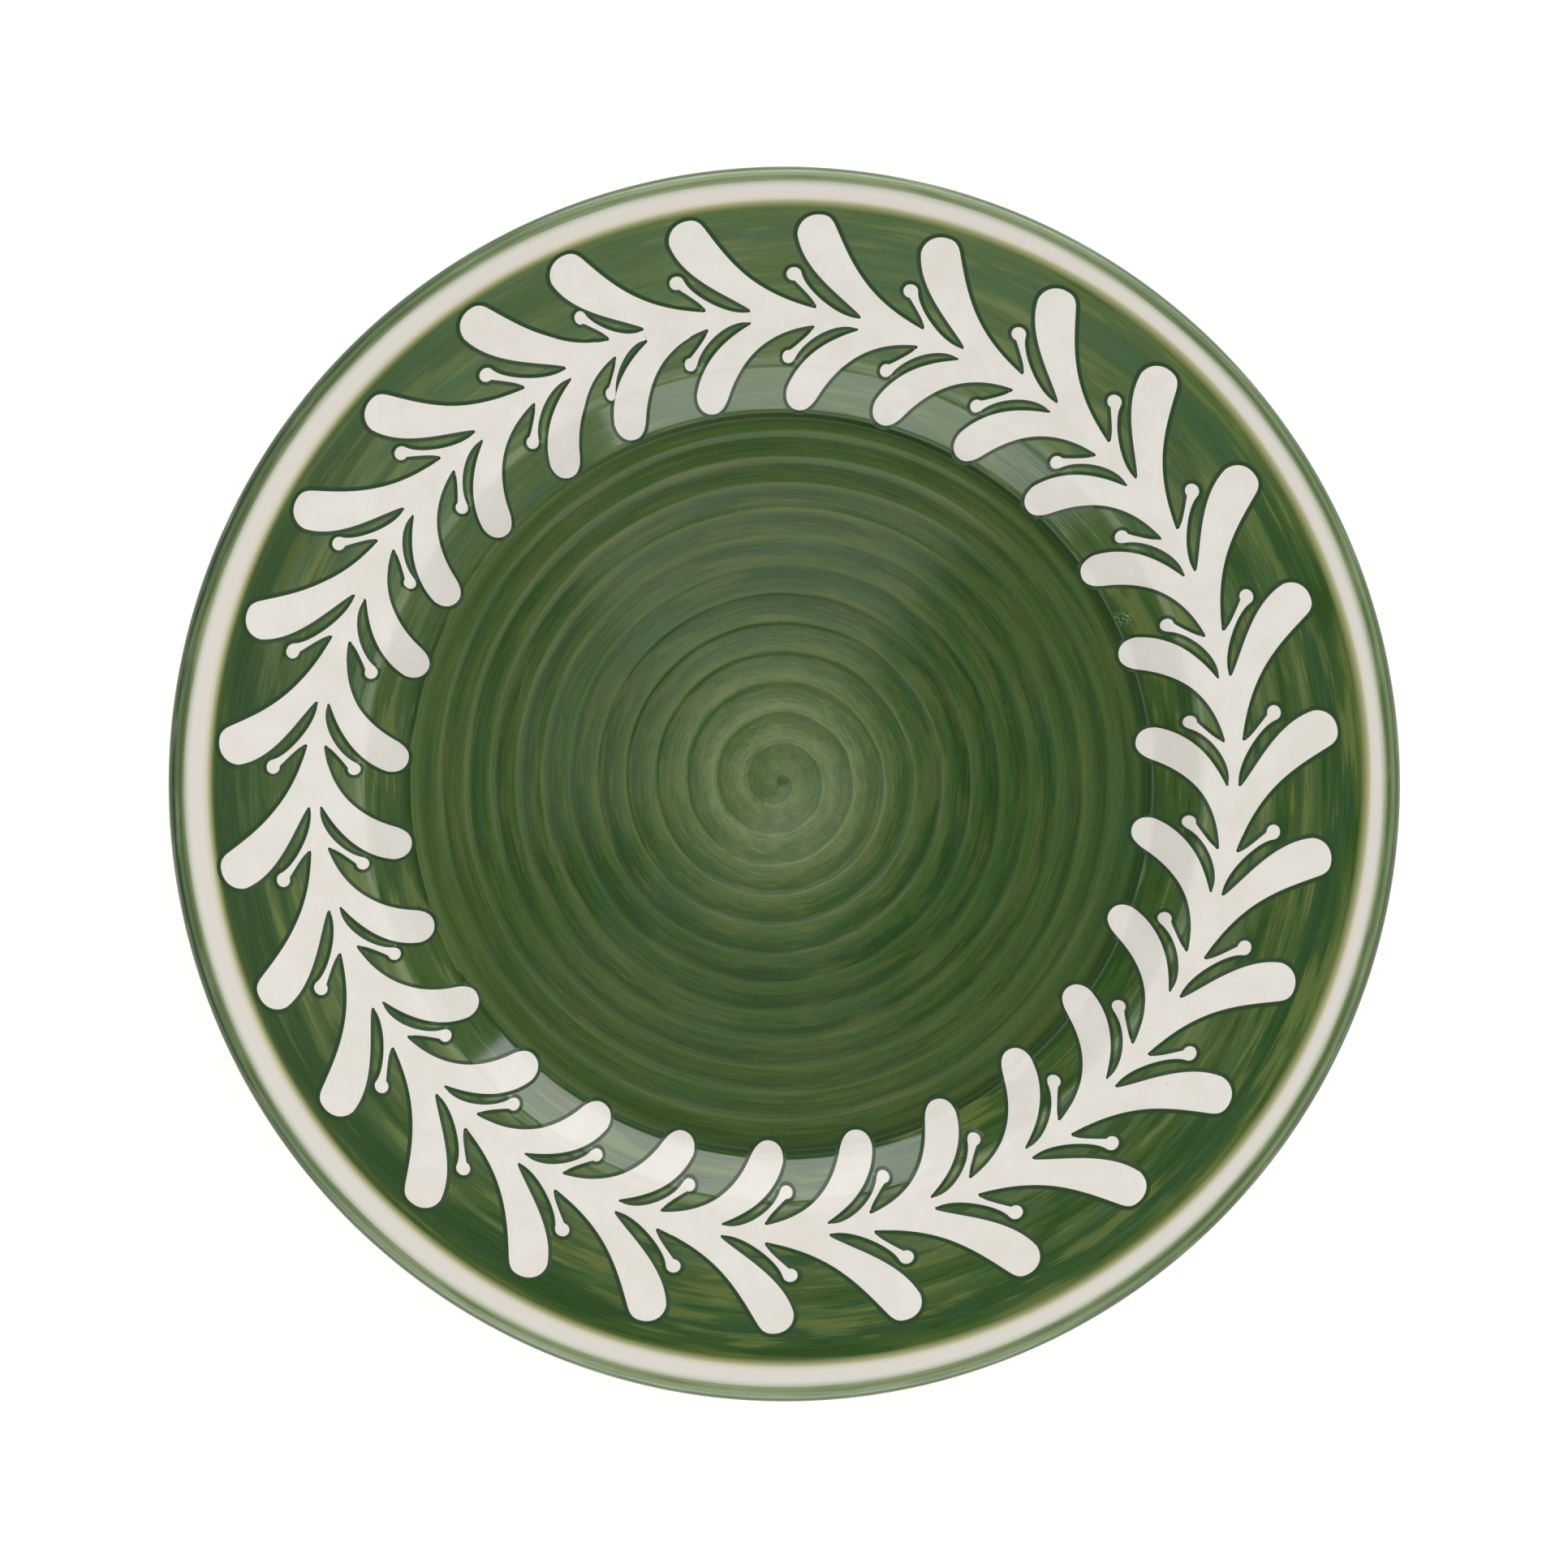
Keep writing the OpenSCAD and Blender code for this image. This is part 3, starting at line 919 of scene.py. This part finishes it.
def curve(start, pull_a, pull_b, end, steps):
    """Points of a smooth curve, without its end."""
    start, pull_a, pull_b, end = (np.array(point, float) for point in (start, pull_a, pull_b, end))
    u = np.arange(steps)[:, None] / steps
    v = 1 - u
    return v**3 * start + 3 * v**2 * u * pull_a + 3 * v * u**2 * pull_b + u**3 * end


def bud_head(middle, radius, start, end, steps=12):
    angles = np.radians(np.linspace(start, end, steps + 1))
    return np.array(middle) + radius * np.column_stack([np.cos(angles), np.sin(angles)])


def ahead(along, away):
    """A point of the next sprig's pair of buds, measured in its own drawing."""
    return along + PITCH, away


outer_side = np.vstack([
    curve((NECK, 0.6), (10.2, 0.8), (10.2, 1.3), (9.6, 1.6), 4),
    curve((9.6, 1.6), (6, 4.3), (-2.6, 8.6), (-4.2, 16.9), 20),
    curve((-4.2, 16.9), (-4.3, 19.6), (-2.5, 21.4), (-0.3, 21.3), 10),
    curve((-0.3, 21.3), (0.9, 21.3), (1.5, 20.6), (2.1, 19.5), 6),
    curve((2.1, 19.5), (5.5, 12.7), (9.8, 4.2), (22.9, 1.6), 28),
    curve((22.9, 1.6), (23.6, 1.5), (23.7, 2.3), ahead(0.5, 2.8), 5),
    curve(ahead(0.5, 2.8), ahead(0.1, 3.6), ahead(-1.2, 4.8), ahead(-3.7, 7.3), 10),
    bud_head(ahead(-4, 8.7), 1.35, 280, 20),
    curve(ahead(-2.7, 9), ahead(-1.9, 5.4), ahead(4.8, 0.2), ahead(9.4, 0.6), 18),
    curve(ahead(9.4, 0.6), ahead(9.6, 0.6), ahead(9.8, 0.6), ahead(NECK, 0.6), 2),
])
inner_side = np.vstack([
    curve((NECK, -1.4), (10.2, -1.5), (10.2, -2), (9.6, -2.2), 4),
    curve((9.6, -2.2), (6.4, -4), (-1.5, -8), (-4.2, -15.7), 20),
    curve((-4.2, -15.7), (-4.7, -18.5), (-2.9, -20.2), (-0.4, -20.2), 10),
    curve((-0.4, -20.2), (1.4, -20.2), (2.7, -18.8), (3.5, -17.3), 7),
    curve((3.5, -17.3), (6.8, -10.6), (12.1, -4.2), (22.9, -2), 28),
    curve((22.9, -2), (23.6, -1.9), (23.7, -2.6), ahead(0.5, -3.1), 5),
    curve(ahead(0.5, -3.1), ahead(0.2, -3.9), ahead(-1.3, -5.5), ahead(-3.9, -7.7), 10),
    bud_head(ahead(-4.2, -9), 1.35, 80, 340),
    curve(ahead(-2.9, -9.5), ahead(-1.6, -5.8), ahead(5, -0.6), ahead(9.4, -1.4), 18),
    curve(ahead(9.4, -1.4), ahead(9.6, -1.4), ahead(9.8, -1.4), ahead(NECK, -1.4), 2),
])
neck_end = [ahead(NECK, NECK_OUTER), ahead(NECK, NECK_INNER)]
outline = np.vstack([outer_side, neck_end, inner_side[::-1]])
print("one sprig is", len(outline), "points round")


def room_outside(points, side):
    """How far each point may move outwards before it meets the sprig or its neighbours."""
    cuts = []
    for shift in (-PITCH, 0, PITCH):
        for line in (outer_side, inner_side):
            cuts.append(np.stack([line[:-1], line[1:]], axis=1) + np.array([shift, 0]))
    cuts = np.vstack(cuts)
    start = cuts[:, 0]
    edge = cuts[:, 1] - start
    rooms = []
    for point, way in zip(points, side):
        gap = start - point
        cross = way[0] * edge[:, 1] - way[1] * edge[:, 0]
        cross = np.where(np.abs(cross) < 1e-9, 1e-9, cross)
        reach = (gap[:, 0] * edge[:, 1] - gap[:, 1] * edge[:, 0]) / cross
        share = (gap[:, 0] * way[1] - gap[:, 1] * way[0]) / cross
        hits = reach[(reach > 0.03) & (share >= 0) & (share <= 1)]
        rooms.append(hits.min() if len(hits) else 99)
    return np.array(rooms)


def outward(line, turn):
    """Unit normals of one side of the sprig, pointing away from the white."""
    way = np.gradient(line, axis=0)
    way /= np.linalg.norm(way, axis=1)[:, None]
    return np.column_stack([-way[:, 1], way[:, 0]]) * turn


def dark_edge(line, turn):
    """The outer edge of the dark line, and how far its ink has faded there, from 0 to 1."""
    normal = outward(line, turn)
    room = room_outside(line, normal)
    reach = np.minimum(LINE_W, room * 0.48)
    for _ in range(2):
        reach[1:-1] = np.minimum(reach[1:-1], (reach[:-2] + reach[1:-1] + reach[2:]) / 3 + 0.08)
    reach[0] = reach[-1] = NECK_LINE_W
    return line + normal * reach[:, None], np.sqrt(reach / LINE_W)


# %% [markdown]
# The drawing is traced with a circle of points, filled and cut into small cells by Bisect,
# so that it can bend over the shoulder. A single face with so many corners couldn't bend.

# %% Cut the flat sprig
CELL = 1
# The first cuts along and across the stem, placed so that no cut grazes a bud's head.
FIRST_ALONG = 0.7
FIRST_ACROSS = 0.4
NEAR = 0.01


def neck_line(points):
    """True for points on the two short edges where sprigs join."""
    on_start = np.abs(points[:, 0] - NECK) < NEAR
    on_end = np.abs(points[:, 0] - NECK - PITCH) < NEAR
    between = (points[:, 1] < NECK_OUTER + NEAR) & (points[:, 1] > NECK_INNER - NEAR)
    return (on_start | on_end) & between


def flat_sprig():
    bpy.ops.object.select_all(action="DESELECT")
    bpy.ops.mesh.primitive_circle_add(vertices=len(outline), radius=MM)
    piece = bpy.context.object
    piece.name = piece.data.name = "flat_sprig"
    move_points(piece, np.column_stack([outline, 0 * outline[:, 0]]))
    low, high = outline.min(axis=0), outline.max(axis=0)

    def cut_cells():
        for axis, normal, first in ((0, (1, 0, 0), FIRST_ALONG), (1, (0, 1, 0), FIRST_ACROSS)):
            for mark in np.arange(math.ceil(low[axis]), high[axis], CELL):
                bpy.ops.mesh.select_all(action="SELECT")
                place = [0, 0, 0]
                place[axis] = (mark + first) * MM
                bpy.ops.mesh.bisect(plane_co=place, plane_no=normal, threshold=0.0005 * MM)

    operate(piece, lambda: bpy.ops.mesh.edge_face_add(), cut_cells)
    return piece


flat = flat_sprig()
inside_count = len(flat.data.vertices)
print("flat sprig:", inside_count, "points,", len(flat.data.polygons), "cells")

# %% [markdown]
# Where white glaze meets wet colour, the colour pools in a thin dark line. The border of the
# cells is extruded once and moved outwards by the width of that line, but not at the necks,
# where sprigs join. The attribute `ink` is a point's place across the line: 1 in the white,
# and 0 where the line has faded into the green.

# %% Extrude the dark edge
def select_edges(piece, chosen):
    """Selects edges by number, from object mode."""
    mesh = piece.data
    mesh.vertices.foreach_set("select", np.zeros(len(mesh.vertices), bool))
    mesh.polygons.foreach_set("select", np.zeros(len(mesh.polygons), bool))
    mesh.edges.foreach_set("select", chosen)


def border_edges(piece):
    """True for each edge that only one face uses."""
    uses = np.zeros(len(piece.data.edges), int)
    for cell in piece.data.polygons:
        for corner in cell.loop_indices:
            uses[piece.data.loops[corner].edge_index] += 1
    return uses == 1


points = points_of(flat)
ends = np.array([edge.vertices[:] for edge in flat.data.edges])
on_neck = neck_line(points)
border = border_edges(flat) & ~(on_neck[ends[:, 0]] & on_neck[ends[:, 1]])
select_edges(flat, border)
bpy.ops.object.select_all(action="DESELECT")
flat.select_set(True)
bpy.context.view_layer.objects.active = flat
bpy.ops.object.mode_set(mode="EDIT")
bpy.context.tool_settings.mesh_select_mode = (False, True, False)
bpy.ops.mesh.extrude_edges_move()
bpy.ops.object.mode_set(mode="OBJECT")
bpy.context.tool_settings.mesh_select_mode = (True, False, False)


def moved_out(points):
    """Moves points of the outline to the dark edge. Returns them and their `ink`."""
    sides = ((outer_side, 1), (inner_side, -1))
    lines = [np.vstack([side, [side[0] + [PITCH, 0]]]) for side, _ in sides]
    best = np.full(len(points), 99.0)
    result = points.copy()
    ink = np.ones(len(points))
    for line, (_, turn) in zip(lines, sides):
        edge, share = dark_edge(line, turn)
        for number in range(len(line) - 1):
            way = line[number + 1] - line[number]
            along = np.clip((points - line[number]) @ way / (way @ way), 0, 1)
            near = line[number] + along[:, None] * way
            gap = np.linalg.norm(points - near, axis=1)
            closer_here = gap < best
            best = np.where(closer_here, gap, best)
            target = edge[number] + along[:, None] * (edge[number + 1] - edge[number])
            result = np.where(closer_here[:, None], target, result)
            worth = share[number] + along * (share[number + 1] - share[number])
            ink = np.where(closer_here, 1 - worth, ink)
    return result, ink


points = points_of(flat)
shifted, ink = moved_out(points[inside_count:, :2])
points[inside_count:, :2] = shifted
move_points(flat, points)
ink = np.concatenate([np.ones(inside_count), ink])
store(flat, "ink", ink)
print("with its dark edge:", len(points), "points; narrowest ink", round(1 - ink.max(), 2))

# %% [markdown]
# The garland was put on by eye. Its ring lies a little off the plate's centre, the spacing
# drifts, and the last gap had to be squeezed to close the ring. The leaves differ slightly
# in reach and lean. Every sprig is a copy of the flat one with its own mesh, bent onto the
# face and raised by the thickness of its paint.

# %% Lay the garland
FIRST_SPRIG = 6.1
GARLAND_LEFT = 1.7
GARLAND_UP = 1.9
SPACING_DRIFT = 1.8
DRIFT_LAG = 18
STEM_OVAL = 0.6
TIP_SLIDE = 0.2
LEAF_OUT = 21
LEAF_IN = 19.6
# Where the ring was closed, the sprigs from FIRST_SLIP on slipped off their even places: by
# some degrees round, and by some millimetres outwards.
FIRST_SLIP = 19
SLIP_TURN = (0, -0.2, -0.2, 0.9, 0.4, 0.6, 1.5, -0.8, -0.5)
SLIP_OUT = (0.5, 0.9, 0.5, -0.6, -0.6, -0.8, -0.7, 0.6, 0.2)
# How far the white stands above the glaze, how far its dark edge dips below the glaze, and
# how thick the whole sprig is.
PAINT_T = 0.14
EDGE_SUNK = 0.02
SPRIG_T = 0.2


def slip(places, number):
    """A sprig's entry in a list of slips, or none if it lies at its even place."""
    place = number - FIRST_SLIP
    return places[place] if 0 <= place < len(places) else 0


def sprig_angle(number):
    """Direction of a sprig in degrees, clockwise from +Y."""
    even = FIRST_SPRIG + 360 * (number - 1) / SPRIG_COUNT
    drift = SPACING_DRIFT * math.cos(math.radians(even - DRIFT_LAG))
    return even - drift + slip(SLIP_TURN, number)


def sprig_radius(number):
    oval = STEM_OVAL * math.sin(2 * math.radians(sprig_angle(number)))
    return STEM_R + oval + slip(SLIP_OUT, number)


def placed(number, points):
    """Plan of a sprig's points on the plate, as the CAD places them."""
    share = np.maximum(0, (points[:, 0] - NECK) / PITCH)
    before_neck = np.degrees(np.minimum(points[:, 0], NECK) / STEM_R)
    to_next = sprig_angle(1) + 360 if number == SPRIG_COUNT else sprig_angle(number + 1)
    turn = np.radians(sprig_angle(number) * (1 - share) + to_next * share + before_neck)
    following = sprig_radius(number % SPRIG_COUNT + 1)
    radius = sprig_radius(number) * (1 - share) + following * share + points[:, 1]
    slide = TIP_SLIDE * (radius - STEM_R) / LEAF_IN
    x = radius * np.sin(turn) - GARLAND_LEFT + slide
    return np.column_stack([x, radius * np.cos(turn) + GARLAND_UP])


# The leaves that differ most, by sprig: how much longer the outer and the inner leaf are,
# and how far their tips lean along the stem, in millimetres.
OUTER_LONGER = {
    1: 0.1, 5: 0.2, 7: 0.3, 8: 0.3, 9: 0.3, 10: 0.3, 11: 0.3, 14: -0.5, 21: -0.4, 25: 0.8,
}
OUTER_LEANS = {7: 0.3, 11: -0.5, 12: -0.6, 13: -0.8, 14: -0.4, 20: 0.8, 21: 1, 23: 0.6, 26: 0.5}
INNER_LONGER = {9: -0.3, 10: -0.3, 16: -0.3, 20: 0.6, 21: 0.5, 26: 0.8}
INNER_LEANS = {8: -0.4, 9: -0.4, 11: -0.5, 22: 1, 26: 1.4, 27: 0.5}
OUTER_LEAN = 0.15
LEAN_LENGTH = 20
DRAWN_OUT = 21.3
DRAWN_IN = 20.2
# A sprig's leaves end where the next sprig's buds begin, this far short of the next leaves.
BUDS_INNER = 6.5
BUDS_OUTER = 6.0
# Nearer the stem than this, the leaves run on by the length of the slit behind the buds.
SLIT_DEPTH = 4
SLIT_RUN = 3.5


def by_hand(number, points):
    """One sprig's own leaves: its reach and lean, none at the stem."""
    away = points[:, 1]
    outer = away > 0
    far = np.clip(np.abs(away) / LEAN_LENGTH, 0, 1)
    longer = np.where(outer, OUTER_LONGER.get(number, 0), -INNER_LONGER.get(number, 0))
    lean = np.where(outer, OUTER_LEAN + OUTER_LEANS.get(number, 0), INNER_LEANS.get(number, 0))
    leaf_end = PITCH - np.where(outer, BUDS_OUTER, BUDS_INNER)
    own_leaf = points[:, 0] < leaf_end + SLIT_RUN * (np.abs(away) < SLIT_DEPTH)
    reach = away * np.where(outer, LEAF_OUT / DRAWN_OUT, LEAF_IN / DRAWN_IN)
    along = points[:, 0] + lean * far * own_leaf
    return np.column_stack([along, reach + longer * far * own_leaf])


def white_paint():
    paint = Paint("white leaf")
    ink = paint.attribute("ink")
    radius, angle = polar(paint)
    green, _ = green_of_rim(paint, radius, angle)
    cloud = paint.noise(paint.place, 0.11, 3, 0.6)
    blush = paint.noise(paint.place, 0.3, 3, 0.6)
    grain = paint.noise(paint.place, 1.4, 3, 0.6)
    white = paint.mix(cloud.step(0.3, 0.7), tone("E0DCD2"), tone("E6E3DB"))
    white = paint.mix(blush.step(0.5, 0.7) * 0.3, white, tone("E6D8D2"))
    white = paint.mix((1 - blush).step(0.5, 0.7) * 0.25, white, tone("DADFD0"))
    white = paint.mix(specks(paint, 15, 0.2) * 0.45, white, tone("8A6A58"))
    line = paint.mix(ink.step(0.0, 0.35), green, tone("34492F"))
    colour = paint.mix(ink.step(0.86, 1), line, white)
    paint.shader.inputs["Specular IOR Level"].default_value = 0.25
    return paint.finish(colour, 0.2, grain, 0.02)


leaf_white = white_paint()
flat_points = points_of(flat)
for number in range(1, SPRIG_COUNT + 1):
    bpy.ops.object.select_all(action="DESELECT")
    flat.select_set(True)
    bpy.context.view_layer.objects.active = flat
    bpy.ops.object.duplicate()
    sprig = bpy.context.object
    node = f"sprig_{number:02d}"
    sprig.name = sprig.data.name = "white_" + node
    plan = placed(number, by_hand(number, flat_points[:, :2]))
    height = face_height(np.hypot(plan[:, 0], plan[:, 1]))
    proud = PAINT_T - (1 - ink) * (PAINT_T + EDGE_SUNK)
    move_points(sprig, np.column_stack([plan, height + proud]))
    operate(sprig, lambda: bpy.ops.mesh.normals_make_consistent(inside=False))
    if sprig.data.polygons[0].normal.z < 0:
        operate(sprig, bpy.ops.mesh.flip_normals)
    thicken = sprig.modifiers.new("thickness", "SOLIDIFY")
    thicken.thickness = SPRIG_T * MM
    thicken.offset = -1
    bpy.ops.object.modifier_apply(modifier=thicken.name)
    bpy.ops.object.shade_smooth_by_angle(angle=math.radians(50))
    settle(sprig, [node], leaf_white)
bpy.data.objects.remove(flat)
print("laid", SPRIG_COUNT, "sprigs")
